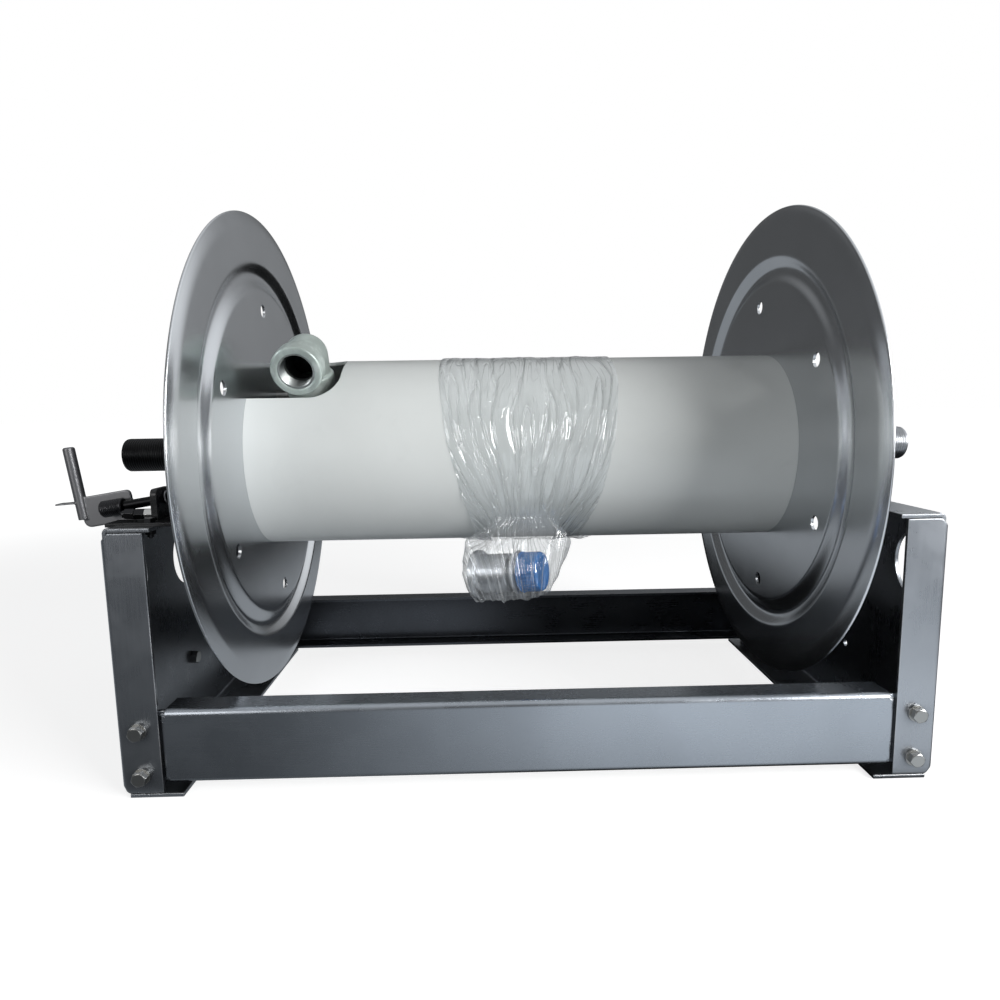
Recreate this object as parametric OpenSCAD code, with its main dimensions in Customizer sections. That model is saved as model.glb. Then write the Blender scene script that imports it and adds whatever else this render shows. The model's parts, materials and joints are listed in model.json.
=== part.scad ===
// Manual hose reel: a drum with two pressed discs turning in pillow blocks on a bolted sheet-metal frame.
// Millimetres. X runs along the drum axis, Y to the rear, Z up. The origin is on the floor, mid-frame.

/* [Frame] */
// Width over the two side frames
frame_w = 675.6; // [640:0.2:720]
// Depth of the side frames, front to rear
frame_d = 344; // [320:1:380]
// Height of the side frames, which the bearings stand on
frame_h = 224.6; // [220:0.2:236]
// Thickness of the frame sheet
sheet_t = 3; // [2.5:0.5:3.5]
// Outer radius of the bends between the frame's faces
bend_r = 5; // [4.5:0.5:6]
// Width of the front and rear flanges of a side frame
side_flange_w = 34.3; // [30:0.1:36]
// Width of the top flange that carries a bearing
top_flange_w = 40; // [38:1:44]
// Width of the foot flange on the floor
foot_flange_w = 50.4; // [44:0.4:56]
// Height of the cross-members
cross_h = 63.3; // [58:0.1:70]
// Height of the cross-members' lower edge above the floor
cross_z = 11.5; // [10:0.5:16]
// How far the cross-members' two flanges reach back
cross_flange_w = 25; // [20:1:30]

/* [Side openings] */
// Radius of the end openings in a side web
web_hole_r = 30; // [24:1:31]
// Distance of the end openings from mid-depth
web_hole_y = 136.4; // [130:0.2:137]
// Height of the openings' centre line
web_hole_z = 175; // [168:1:180]
// Distance of the middle slot's two end centres from mid-depth
web_slot_y = 26; // [16:1:34]
// Radius of the small bolt holes in the webs
small_hole_r = 3.5; // [3.5:0.25:5]
// Radius of the floor bolt holes
foot_hole_r = 5.5; // [4.5:0.5:6.5]
// Distance of the floor bolt holes from mid-depth
foot_hole_y = 130; // [110:1:140]
// Distance of the floor bolt holes from mid-width
foot_hole_x = 311; // [306:1:314]

/* [Drum] */
// Outer diameter of the discs
disc_d = 457; // [430:1:460]
// Thickness of the disc sheet
disc_t = 2.5; // [2:0.5:3]
// Outer diameter of the drum tube
drum_d = 181.6; // [170:0.2:200]
// Length of the drum between the discs
drum_len = 500; // [500:1:504]
// Wall of the drum tube
drum_t = 3; // [2:0.5:4]
// Inner radius of the pressed groove in a disc
groove_r1 = 160; // [155:1:165]
// Outer radius of the pressed groove in a disc
groove_r2 = 186; // [180:1:190]
// Depth of the pressed groove
groove_depth = 5.5; // [4:0.5:7]
// Radius of the turned-back rim of a disc
rim_r = 4; // [3.5:0.5:8]
// Radius of the circle of lock holes
lock_circle_r = 140; // [138:1:141]
// Radius of one lock hole
lock_hole_r = 6.5; // [6:0.5:8]
// Angle of the first lock hole of the left disc, from the rear towards the top
lock_phase_left = 34; // [30:1:36]
// Angle of the first lock hole of the right disc
lock_phase_right = 26; // [0:1:59]

/* [Outlet] */
// Place of the outlet elbow along the drum
outlet_x = -201.5; // [-204:0.5:-200]
// How far the outlet leans forward from straight up, in degrees
outlet_lean = 24; // [15:1:30]
// Distance of the outlet bore's axis from the drum axis
outlet_r = 103; // [103:1:110]
// Reach of the outlet leg from the riser's axis to its face
outlet_reach = 44; // [42:1:45]
// Half the width of the opening in the drum
slot_half_w = 45; // [45:0.5:48]
// Place of the opening's closed end along the drum
slot_end_x = -168; // [-174:1:-160]
// Corner radius of the opening
slot_corner_r = 26; // [10:1:30]

/* [Shaft and bearings] */
// Outer radius of the pipe shafts
shaft_r = 16.7; // [16.5:0.05:16.75]
// Distance of each shaft end from mid-width
shaft_end_x = 397; // [380:1:420]
// Bore radius of the inlet pipe
pipe_bore_r = 13.3; // [12:0.1:14]
// Height of a bearing's centre above its foot
bearing_h = 47.6; // [47.6:0.1:50]
// Distance of each bearing's centre from mid-width
bearing_x = 317; // [315:0.5:319]

/* [Pin lock] */
// Droop of the lock pin, whose outer end hangs lower, in degrees
lock_tilt = 9; // [7:0.5:10]
// Height of the lock's reference point on the pin
lock_z = 240; // [239.5:0.5:241]
// Distance of the lock from mid-depth
lock_y = 137; // [136:0.5:138]
// Radius of the lock pin
lock_pin_r = 4; // [3.5:0.25:4]

/* [Loose swivel] */
// Place of the wrapped swivel: along the drum, in front of the axis, above the floor
swivel_at = [-24, -64, 157];

/* [Hidden] */
$fn = 96;
cut = 1;                                   // how far a cutter reaches past a face
gap = 0.02;                                // slack between pieces that touch
half_w = frame_w / 2;
half_d = frame_d / 2;
axis_z = frame_h + bearing_h;
disc_r = disc_d / 2;
drum_r = drum_d / 2;
half_drum = drum_len / 2;
relief = sheet_t + 0.8;                    // end gap of the front and rear flanges
flange_mid_x = half_w - 17.8;              // frame bolts, from mid-width
flange_bolt_z = [18.8, 57.5];
corner_w = 7;                              // cut-off corners of the front and rear flanges
corner_h = 11;
frame_bolt_r = 3.175;                      // 1/4 in
frame_bolt_af = 11.1;
frame_bolt_h = 5.8;
frame_nut_h = 5.6;
frame_bolt_hole_r = 3.5;
frame_washer_t = 1.6;
cross_len = 2 * (half_w - side_flange_w - 0.4);
tab_x = half_w - sheet_t - 3;              // outer end of a cross-member's end tab
tab_inset = 1.6;                           // a tab is lower than its cross-member at both edges
web_bolt_y = -31;
web_bolt_z = 68;
bearing_bolt_y = 63.5;
bearing_bolt_r = 6;                        // M12
bearing_bolt_hole_r = 6.6;
bearing_washer_t = 2.5;
bearing_foot_t = 18;
bearing_foot_l = 167;
bearing_foot_w = 48;
bearing_body_w = 38;
bearing_body_r = 46;
nipple_x = -6;                             // grease nipple, from the bearing's middle
nipple_turn = -40;                         // grease nipple from straight up, towards the rear
set_screw_turns = [20, 82];                // the inner ring's two set screws, from straight up
set_screw_x = -20;
ball_r = 5.55;
ball_circle_r = 26.75;
seat_r = 36;
inner_ring_r = 23.5;
outer_ring_bore_r = 30;
insert_half_w = 10;
ring_out = 25.4;                           // inner ring's reach on the set-screw side
ring_in = 17.5;
hub_flange_r = 75;
hub_t = 5;
hub_boss_r = 27;
hub_boss_len = 22;
hub_screw_x = 14;                          // set screws, from the hub's inner face
hub_x = half_drum + disc_t;                // outboard face of a disc
rod_r = 5;
rod_circle_r = 62;
rod_phase = 90 + outlet_lean + 45;
washer_t = 2;
rod_nut_h = 8.5;
fitting_r = 20;
band_r = 23;
band_l = 12;
riser_band_l = 20;                         // bands of the outlet elbow
outlet_band_l = 18;
outlet_thread_r = 15.8;
leg = 38;                                  // centre to end of a pipe elbow
engage = 16;                               // how far a pipe screws into a fitting
flow_r = pipe_bore_r;
socket_r = shaft_r + 0.05;
chamfer = 2;                               // end chamfer of a pipe shaft, along X
chamfer_r = 1.6;
relief_x = 347;                            // thread relief of a pipe shaft, from mid-width
relief_w = 2.5;
relief_r = 15.9;
lock_x = -323;
bracket_x1 = -308;                         // bracket plate, and the outer end of its front tongue
bracket_x2 = -273;
tongue_x = -336;
tongue_w = 20;
bracket_half_y = 27;
bracket_t = 3;
bracket_screw_x = -303;
bracket_screw_y = 22;                      // bracket screws, from the pin
bracket_screw_hole_r = 2.7;
outer_upright_x = -304.7;
outer_upright_top = 253;
inner_upright_top = 259;
outer_upright_t = 5;
inner_upright_t = 4;
sleeve_r = 7;
sleeve_u1 = -29.5;                         // sleeve's two ends along the pin
sleeve_u2 = -10.2;
pin_u1 = -26;                              // pin's two ends
tip_u = 70;
collar_u = 42;                             // collar's outer face along the pin
collar_w = 3;
collar_r = 8;
spring_u = 24.8;                           // spring's outer end along the pin
spring_r = 6;
spring_wire_r = 0.7;
spring_turns = 4;
lever_t = 3;
handle_r = 4.6;
stud_r = 3;
stud_y = 10;                               // guide stud, in front of the pin
stud_z = 232.6;
stud_x = -330;                             // outer end of the guide stud
stud_nut_af = 8;
swivel_tip = 83;                           // swivel axis from straight up
swivel_turn = -25;                         // swivel axis about the vertical
body_r = 18.5;                             // swivel body, its flange and its bore
body_flange_r = 23;
body_z1 = -22;
body_z2 = 14;
stem_r = 13;                               // swivel stem, its flange and its threaded end
stem_flange_r = 21;
stem_flange_z = 20.5;
stem_thread_r = 15.6;
stem_end_z = 43;
cap_r = 18.4;
cap_rim_r = 19.4;
cap_z1 = 26;
cap_z2 = 46.5;
film_t = 1;
film_x1 = -76;                             // film sleeve's two ends along the drum
film_x2 = 91;
pouch_r1 = 26;                             // pouch round the body, round the capped end and at the drum
pouch_r2 = 23.5;
pouch_root_y = -40;
pouch_root_z = 62;                         // pouch's root, below the drum axis

// ---------- shared shapes ----------

// A quarter of a ring in the first quadrant: one bend of the sheet, seen end on.
module quarter_ring(r, t) {
    intersection() {
        difference() {
            circle(r);
            circle(r - t);
        }
        square(r);
    }
}

// A folded channel, seen end on: web on x = 0, one flange at y = 0 and one at y = h, both towards +x.
module channel(h, low_w, high_w, t, r) {
    translate([0, r]) square([t, h - 2 * r]);
    translate([r, 0]) square([low_w - r, t]);
    translate([r, h - t]) square([high_w - r, t]);
    translate([r, r]) rotate(180) quarter_ring(r, t);
    translate([r, h - r]) rotate(90) quarter_ring(r, t);
}

// A rectangle with round corners, centred in y and running from x1 to x2.
module round_slab(x1, x2, half_y, r) {
    translate([x1, -half_y + r]) square([x2 - x1, 2 * half_y - 2 * r]);
    translate([x1 + r, -half_y]) square([x2 - x1 - 2 * r, 2 * half_y]);
    for (x = [x1 + r, x2 - r], y = [-half_y + r, half_y - r]) translate([x, y]) circle(r);
}

// A cylinder along +X from x1 to x2.
module rod_x(r, x1, x2) {
    translate([x1, 0, 0]) rotate([0, 90, 0]) cylinder(h = x2 - x1, r = r);
}

// A tube along +X from x1 to x2.
module tube_x(r, bore, x1, x2) {
    difference() {
        rod_x(r, x1, x2);
        rod_x(bore, x1 - cut, x2 + cut);
    }
}

// A hexagon prism on z = 0, its upper face chamfered by 30 degrees down to a circle.
module hex_prism(af, h) {
    face_r = 0.46 * af;
    intersection() {
        cylinder(h = h, r = af / 2 / cos(30), $fn = 6);
        cylinder(h = h, r1 = face_r + h / tan(30), r2 = face_r);
    }
}

// A hex bolt: underside of the head on z = 0, head upwards, shank downwards with a chamfered end.
module hex_bolt(r, length, af, head_h) {
    hex_prism(af, head_h);
    translate([0, 0, -length + 1]) cylinder(h = length - 1, r = r);
    translate([0, 0, -length]) cylinder(h = 1, r1 = r - 0.8, r2 = r);
}

// A hex nut standing on z = 0.
module hex_nut(bore, af, h) {
    difference() {
        hex_prism(af, h);
        translate([0, 0, -cut]) cylinder(h = h + 2 * cut, r = bore);
    }
}

// A flat washer standing on z = 0.
module washer(r, bore, h) {
    difference() {
        cylinder(h = h, r = r);
        translate([0, 0, -cut]) cylinder(h = h + 2 * cut, r = bore);
    }
}

// The left piece and its mirror image on the right.
module both_sides() {
    children();
    mirror([1, 0, 0]) children();
}

// A compression spring along +X: a round wire swept along a helix with closed ends.
module coil(r, wire, x1, x2, turns) {
    steps = turns * 20;
    sides = 8;
    points = [
        for (i = [0:steps], j = [0:sides - 1])
            let (
                a = 360 * turns * i / steps,
                b = 360 * j / sides,
                rr = r + wire * cos(b)
            )
            [x1 + wire + (x2 - x1 - 2 * wire) * i / steps + wire * sin(b), rr * cos(a), rr * sin(a)]
    ];
    faces = [
        for (i = [0:steps - 1], j = [0:sides - 1])
            let (k = (j + 1) % sides)
            [i * sides + j, i * sides + k, (i + 1) * sides + k, (i + 1) * sides + j]
    ];
    start = [for (j = [sides - 1:-1:0]) j];
    end = [for (j = [0:sides - 1]) steps * sides + j];
    polyhedron(points = points, faces = concat(faces, [start, end]), convexity = 6);
}

// ---------- frame ----------

// The left side frame's folded sheet, with its outer face on x = 0.
module side_sheet() {
    inner_d = frame_d - 2 * bend_r;
    translate([0, -half_d, relief]) linear_extrude(frame_h - 2 * relief)
        channel(frame_d, side_flange_w, side_flange_w, sheet_t, bend_r);
    translate([0, inner_d / 2, 0]) rotate([90, 0, 0]) linear_extrude(inner_d)
        channel(frame_h, foot_flange_w, top_flange_w, sheet_t, bend_r);
    for (y = [-half_d, half_d - bend_r - cut]) {
        translate([corner_w, y, 0]) cube([foot_flange_w - corner_w, bend_r + cut, sheet_t]);
        translate([corner_w, y, frame_h - sheet_t]) cube([top_flange_w - corner_w, bend_r + cut, sheet_t]);
    }
}

// The corner cut off where three bends of the sheet meet, on x = 0 and z = 0.
module corner_cut() {
    translate([0, half_d + cut, 0]) rotate([90, 0, 0]) linear_extrude(bend_r + 2 * cut)
        polygon([[-cut, -cut], [corner_w, -cut], [corner_w, relief], [0, corner_h], [-cut, corner_h]]);
}

// Everything cut through the left side frame, placed on the frame.
module side_cuts() {
    for (y = [-web_hole_y, -web_slot_y, web_slot_y, web_hole_y])
        translate([0, y, web_hole_z]) rod_x(web_hole_r, -half_w - cut, -half_w + sheet_t + cut);
    translate([-half_w - cut, -web_slot_y, web_hole_z - web_hole_r])
        cube([sheet_t + 2 * cut, 2 * web_slot_y, 2 * web_hole_r]);
    translate([0, web_bolt_y, web_bolt_z]) rod_x(small_hole_r, -half_w - cut, -half_w + sheet_t + cut);
    for (y = [-foot_hole_y, foot_hole_y])
        translate([-foot_hole_x, y, -cut]) cylinder(h = sheet_t + 2 * cut, r = foot_hole_r);
    for (y = [-bearing_bolt_y, bearing_bolt_y])
        translate([-bearing_x, y, frame_h - sheet_t - cut])
            cylinder(h = sheet_t + 2 * cut, r = bearing_bolt_hole_r);
    for (y = [-half_d, half_d - sheet_t], z = flange_bolt_z)
        translate([-flange_mid_x, y - cut, z]) rotate([-90, 0, 0])
            cylinder(h = sheet_t + 2 * cut, r = frame_bolt_hole_r);
    for (sy = [0, 1], sz = [0, 1])
        translate([-half_w, 0, sz * frame_h]) mirror([0, sy, 0]) mirror([0, 0, sz]) corner_cut();
}

module left_side_frame() {
    color([0.55, 0.57, 0.6]) difference() {
        translate([-half_w, 0, 0]) side_sheet();
        side_cuts();
        at_bracket_screws(frame_h - sheet_t - cut) cylinder(h = sheet_t + 2 * cut, r = bracket_screw_hole_r);
    }
}

module right_side_frame() {
    color([0.55, 0.57, 0.6]) mirror([1, 0, 0]) difference() {
        translate([-half_w, 0, 0]) side_sheet();
        side_cuts();
    }
}

// A folded channel between the side frames. Its web turns back at both ends to a tab behind their flanges.
module cross_member() {
    half_l = cross_len / 2;
    tab_z = cross_z + tab_inset;
    tab_h = cross_h - 2 * tab_inset;
    web_len = cross_len - 2 * bend_r;
    difference() {
        union() {
            translate([-web_len / 2, -half_d, cross_z]) rotate([90, 0, 90]) linear_extrude(web_len)
                channel(cross_h, cross_flange_w, cross_flange_w, sheet_t, bend_r);
            both_sides() {
                translate([-half_l + bend_r + gap, -half_d + bend_r, cross_z + bend_r])
                    linear_extrude(cross_h - 2 * bend_r) rotate(180) quarter_ring(bend_r, sheet_t);
                translate([-tab_x, -half_d + sheet_t + gap, tab_z])
                    cube([tab_x - half_l + bend_r + sheet_t, sheet_t - gap, tab_h]);
            }
        }
        both_sides() for (z = flange_bolt_z)
            translate([-flange_mid_x, -half_d, z]) rotate([-90, 0, 0])
                cylinder(h = 4 * sheet_t, r = frame_bolt_hole_r);
    }
}

module front_cross_member() {
    color([0.6, 0.63, 0.67]) cross_member();
}

module rear_cross_member() {
    color([0.6, 0.63, 0.67]) mirror([0, 1, 0]) cross_member();
}

// Puts a fastener at each corner bolt, its axis outwards from the frame's front or rear face.
module at_frame_bolts(inset) {
    for (sx = [-1, 1], sy = [-1, 1], z = flange_bolt_z)
        translate([sx * flange_mid_x, sy * (half_d - inset), z]) rotate([sy * -90, 0, 0]) children();
}

module frame_bolts() {
    color([0.5, 0.5, 0.5]) at_frame_bolts(-frame_washer_t) rotate(12)
        hex_bolt(frame_bolt_r, 20, frame_bolt_af, frame_bolt_h);
}

module frame_washers() {
    color([0.62, 0.62, 0.6]) {
        at_frame_bolts(0) washer(7, frame_bolt_r + 0.1, frame_washer_t);
        at_frame_bolts(2 * sheet_t + frame_washer_t) washer(7, frame_bolt_r + 0.1, frame_washer_t);
    }
}

module frame_nuts() {
    color([0.62, 0.62, 0.6]) at_frame_bolts(2 * sheet_t + frame_washer_t) rotate([180, 0, 0])
        hex_nut(frame_bolt_r + gap, frame_bolt_af, frame_nut_h);
}

module web_bolt() {
    color([0.6, 0.6, 0.6]) translate([-half_w + sheet_t, web_bolt_y, web_bolt_z]) rotate([0, 90, 0])
        hex_bolt(frame_bolt_r, 12, frame_bolt_af, frame_bolt_h);
}

module web_nut() {
    color([0.6, 0.6, 0.6]) translate([-half_w, web_bolt_y, web_bolt_z]) rotate([0, -90, 0])
        hex_nut(frame_bolt_r + gap, frame_bolt_af, frame_nut_h);
}

// ---------- bearings ----------

// Puts a left-hand bearing piece on the left and its mirror image on the right, centred on the shaft.
module at_bearings() {
    both_sides() translate([-bearing_x, 0, axis_z]) children();
}

// A pillow block in cast iron, centred on the shaft, its set-screw side towards -X.
module bearing_housing() {
    body_w = bearing_body_w;
    base = -bearing_h + gap;
    shoulder_z = bearing_h - 14;
    difference() {
        union() {
            translate([0, 0, base]) linear_extrude(bearing_foot_t)
                rotate(90) round_slab(-bearing_foot_l / 2, bearing_foot_l / 2, bearing_foot_w / 2, 14);
            rod_x(bearing_body_r, -body_w / 2, body_w / 2);
            translate([-body_w / 2, 0, base]) rotate([90, 0, 90]) linear_extrude(body_w)
                polygon([[-50, 0], [50, 0], [50, bearing_foot_t], [42, shoulder_z], [-42, shoulder_z],
                    [-50, bearing_foot_t]]);
            translate([nipple_x, 0, 0]) rotate([nipple_turn, 0, 0]) cylinder(h = bearing_body_r + 3, r = 6);
        }
        sphere(seat_r + gap);
        rod_x(33, -body_w, body_w);
        for (y = [-bearing_bolt_y, bearing_bolt_y])
            translate([0, y, base - cut]) cylinder(h = bearing_foot_t + 2 * cut, r = 7);
        translate([nipple_x, 0, 0]) rotate([nipple_turn, 0, 0])
            cylinder(h = bearing_body_r + 2 * cut + 3, r = 3.02);
    }
}

module left_bearing_housing() {
    color([0.1, 0.1, 0.11]) translate([-bearing_x, 0, axis_z]) bearing_housing();
}

module right_bearing_housing() {
    color([0.1, 0.1, 0.11]) mirror([1, 0, 0]) translate([-bearing_x, 0, axis_z]) bearing_housing();
}

// The channel that the balls run in.
module ball_track() {
    rotate([0, 90, 0]) rotate_extrude() translate([ball_circle_r, 0]) circle(ball_r + 0.15, $fn = 48);
}

module bearing_outer_rings() {
    color([0.7, 0.7, 0.72]) at_bearings() difference() {
        intersection() {
            sphere(seat_r);
            rod_x(seat_r + cut, -insert_half_w, insert_half_w);
        }
        rod_x(outer_ring_bore_r, -seat_r, seat_r);
        ball_track();
    }
}

module bearing_balls() {
    color([0.85, 0.85, 0.87]) at_bearings() for (i = [0:8])
        rotate([40 * i, 0, 0]) translate([0, 0, ball_circle_r]) sphere(ball_r, $fn = 32);
}

module bearing_seals() {
    color([0.12, 0.12, 0.12]) at_bearings() {
        tube_x(outer_ring_bore_r - gap, inner_ring_r + 0.5, -insert_half_w + 0.3, -insert_half_w + 1.8);
        tube_x(outer_ring_bore_r - gap, inner_ring_r + 0.5, insert_half_w - 1.8, insert_half_w - 0.3);
    }
}

module bearing_inner_rings() {
    color([0.75, 0.75, 0.77]) at_bearings() difference() {
        tube_x(inner_ring_r, shaft_r + gap, -ring_out, ring_in);
        ball_track();
        for (a = set_screw_turns)
            translate([set_screw_x, 0, 0]) rotate([a, 0, 0]) cylinder(h = inner_ring_r + cut, r = 3.05);
    }
}

module bearing_set_screws() {
    color([0.15, 0.15, 0.16]) at_bearings() for (a = set_screw_turns)
        translate([set_screw_x, 0, 0]) rotate([a, 0, 0]) difference() {
            translate([0, 0, shaft_r + 0.1]) cylinder(h = 6, r = 3);
            translate([0, 0, shaft_r + 3.1]) cylinder(h = 4, r = 1.7, $fn = 6);
        }
}

module grease_nipples() {
    color([0.75, 0.72, 0.6]) at_bearings() translate([nipple_x, 0, 0]) rotate([nipple_turn, 0, 0]) {
        translate([0, 0, 43]) cylinder(h = 6, r = 3);
        translate([0, 0, 49 + gap]) cylinder(h = 3, r = 4.4, $fn = 6);
        translate([0, 0, 52]) cylinder(h = 3, r1 = 2.4, r2 = 1.6);
        translate([0, 0, 55]) cylinder(h = 2.4, r1 = 2.5, r2 = 1.6);
        translate([0, 0, 48]) cylinder(h = 2, r = 3);
    }
}

// Puts a fastener at each bearing bolt, upright, at a height above the frame's top.
module at_bearing_bolts(z) {
    for (x = [-bearing_x, bearing_x], y = [-bearing_bolt_y, bearing_bolt_y])
        translate([x, y, frame_h + z]) children();
}

module bearing_bolts() {
    color([0.45, 0.45, 0.46]) at_bearing_bolts(bearing_foot_t + bearing_washer_t + 2 * gap)
        hex_bolt(bearing_bolt_r, 40, 19, 7.5);
}

module bearing_washers() {
    color([0.6, 0.6, 0.58]) {
        at_bearing_bolts(bearing_foot_t + 2 * gap) washer(12, bearing_bolt_r + 0.2, bearing_washer_t - gap);
        at_bearing_bolts(-sheet_t - bearing_washer_t)
            washer(12, bearing_bolt_r + 0.2, bearing_washer_t - gap);
    }
}

module bearing_nuts() {
    color([0.6, 0.6, 0.58]) at_bearing_bolts(-sheet_t - bearing_washer_t - gap) rotate([180, 0, 0])
        hex_nut(bearing_bolt_r + gap, 19, 10);
}

// ---------- drum ----------

// The disc sheet from hub to rim: radius along x, outboard along y.
module disc_profile() {
    flat_end = disc_r - rim_r;
    slope = 6;
    translate([shaft_r + 0.8, 0]) square([groove_r1 - shaft_r - 0.8, disc_t]);
    polygon([
        [groove_r1 - 1, 0], [groove_r1, 0],
        [groove_r1 + slope, groove_depth], [groove_r2 - slope, groove_depth],
        [groove_r2, 0], [groove_r2 + 1, 0], [groove_r2 + 1, disc_t], [groove_r2 + 0.6, disc_t],
        [groove_r2 - slope + 0.6, groove_depth + disc_t], [groove_r1 + slope - 0.6, groove_depth + disc_t],
        [groove_r1 - 0.6, disc_t], [groove_r1 - 1, disc_t]
    ]);
    translate([groove_r2, 0]) square([flat_end - groove_r2, disc_t]);
    translate([flat_end, rim_r]) rotate(-90) quarter_ring(rim_r, disc_t);
}

// A disc on the drum's left end, its drum side towards +X.
module disc(phase) {
    translate([-half_drum, 0, axis_z]) difference() {
        rotate([0, -90, 0]) rotate_extrude($fn = 180) disc_profile();
        for (i = [0:5])
            rotate([phase + 60 * i, 0, 0]) translate([0, lock_circle_r, 0])
                rod_x(lock_hole_r, -disc_t - cut, cut);
        for (i = [0:3])
            rotate([rod_phase + 90 * i, 0, 0]) translate([0, rod_circle_r, 0])
                rod_x(rod_r + 0.5, -disc_t - cut, cut);
    }
}

module left_disc() {
    color([0.72, 0.73, 0.75]) disc(lock_phase_left);
}

module right_disc() {
    color([0.5, 0.51, 0.53]) mirror([1, 0, 0]) disc(lock_phase_right);
}

module drum_tube() {
    color([0.85, 0.87, 0.87]) translate([0, 0, axis_z]) difference() {
        tube_x(drum_r, drum_r - drum_t, -half_drum + gap, half_drum - gap);
        rotate([outlet_lean, 0, 0]) linear_extrude(drum_r + cut)
            round_slab(-half_drum - slot_corner_r - cut, slot_end_x, slot_half_w, slot_corner_r);
    }
}

// A flanged hub on the outboard side of the left disc.
module hub() {
    translate([0, 0, axis_z]) difference() {
        union() {
            rod_x(hub_flange_r, -hub_x - hub_t, -hub_x - gap);
            rod_x(hub_boss_r, -hub_x - hub_boss_len, -hub_x - gap);
        }
        rod_x(shaft_r + gap, -hub_x - hub_boss_len - cut, -hub_x + cut);
        for (i = [0:3])
            rotate([rod_phase + 90 * i, 0, 0]) translate([0, rod_circle_r, 0])
                rod_x(rod_r + 0.5, -hub_x - hub_t - cut, -hub_x + cut);
        for (a = [0, 90])
            translate([-hub_x - hub_screw_x, 0, 0]) rotate([a, 0, 0])
                cylinder(h = hub_boss_r + cut, r = 4.05);
    }
}

module left_hub() {
    color([0.3, 0.31, 0.33]) hub();
}

module right_hub() {
    color([0.3, 0.31, 0.33]) mirror([1, 0, 0]) hub();
}

module hub_set_screws() {
    color([0.15, 0.15, 0.16]) both_sides() for (a = [0, 90])
        translate([-hub_x - hub_screw_x, 0, axis_z]) rotate([a, 0, 0]) difference() {
            translate([0, 0, shaft_r + 0.1]) cylinder(h = 9, r = 4);
            translate([0, 0, shaft_r + 5.1]) cylinder(h = 5, r = 2.3, $fn = 6);
        }
}

// Puts a piece on each of the four tie-rod axes.
module at_tie_rods() {
    translate([0, 0, axis_z]) for (i = [0:3])
        rotate([rod_phase + 90 * i, 0, 0]) translate([0, rod_circle_r, 0]) children();
}

module tie_rods() {
    rod_end = hub_x + hub_t + washer_t + rod_nut_h + 3;
    color([0.6, 0.6, 0.6]) at_tie_rods() rod_x(rod_r, -rod_end, rod_end);
}

module tie_rod_washers() {
    color([0.62, 0.62, 0.6]) at_tie_rods() both_sides()
        translate([-hub_x - hub_t - gap, 0, 0]) rotate([0, -90, 0]) washer(10, rod_r + 0.2, washer_t - gap);
}

module tie_rod_nuts() {
    color([0.62, 0.62, 0.6]) at_tie_rods() both_sides()
        translate([-hub_x - hub_t - washer_t - gap, 0, 0]) rotate([0, -90, 0])
            hex_nut(rod_r + gap, 16, rod_nut_h);
}

// ---------- shafts and water way ----------

// A shaft from its chamfered end at -shaft_end_x to inner_end, with a relief behind the end's thread.
module stub(inner_end) {
    translate([-shaft_end_x, 0, 0]) rotate([0, 90, 0])
        cylinder(h = chamfer, r1 = shaft_r - chamfer_r, r2 = shaft_r);
    rod_x(shaft_r, -shaft_end_x + chamfer, -relief_x);
    rod_x(relief_r, -relief_x - cut, -relief_x + relief_w + cut);
    rod_x(shaft_r, -relief_x + relief_w, inner_end);
}

// The inlet pipe: threaded outer end on the left, screwed into the inner elbow on the right.
module inlet_pipe() {
    inner_end = outlet_x - leg + engage;
    color([0.2, 0.2, 0.21]) translate([0, 0, axis_z]) difference() {
        stub(inner_end);
        rod_x(pipe_bore_r, -shaft_end_x - cut, inner_end + cut);
    }
}

module drive_shaft() {
    color([0.55, 0.56, 0.58]) translate([0, 0, axis_z]) mirror([1, 0, 0]) stub(-half_drum + 36);
}

// The outlet's own directions: +Z out through the drum's opening, -Y towards the front.
module at_outlet() {
    translate([outlet_x, 0, axis_z]) rotate([outlet_lean, 0, 0]) children();
}

module inner_elbow() {
    color([0.45, 0.47, 0.47]) at_outlet() difference() {
        union() {
            rod_x(fitting_r, -leg, 0);
            rod_x(band_r, -leg, -leg + band_l);
            cylinder(h = leg, r = fitting_r);
            translate([0, 0, leg - band_l]) cylinder(h = band_l, r = band_r);
            sphere(fitting_r);
        }
        rod_x(flow_r, -leg - cut, 0);
        rod_x(socket_r, -leg - cut, -leg + engage + 0.1);
        cylinder(h = leg + cut, r = flow_r);
        translate([0, 0, leg - engage - 0.1]) cylinder(h = engage + cut, r = socket_r);
        sphere(flow_r);
    }
}

module riser_pipe() {
    riser_z1 = leg - engage;
    riser_z2 = outlet_r - leg + engage;
    color([0.6, 0.62, 0.61]) at_outlet() difference() {
        translate([0, 0, riser_z1]) cylinder(h = riser_z2 - riser_z1, r = shaft_r);
        translate([0, 0, riser_z1 - cut]) cylinder(h = riser_z2 - riser_z1 + 2 * cut, r = pipe_bore_r);
    }
}

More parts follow.
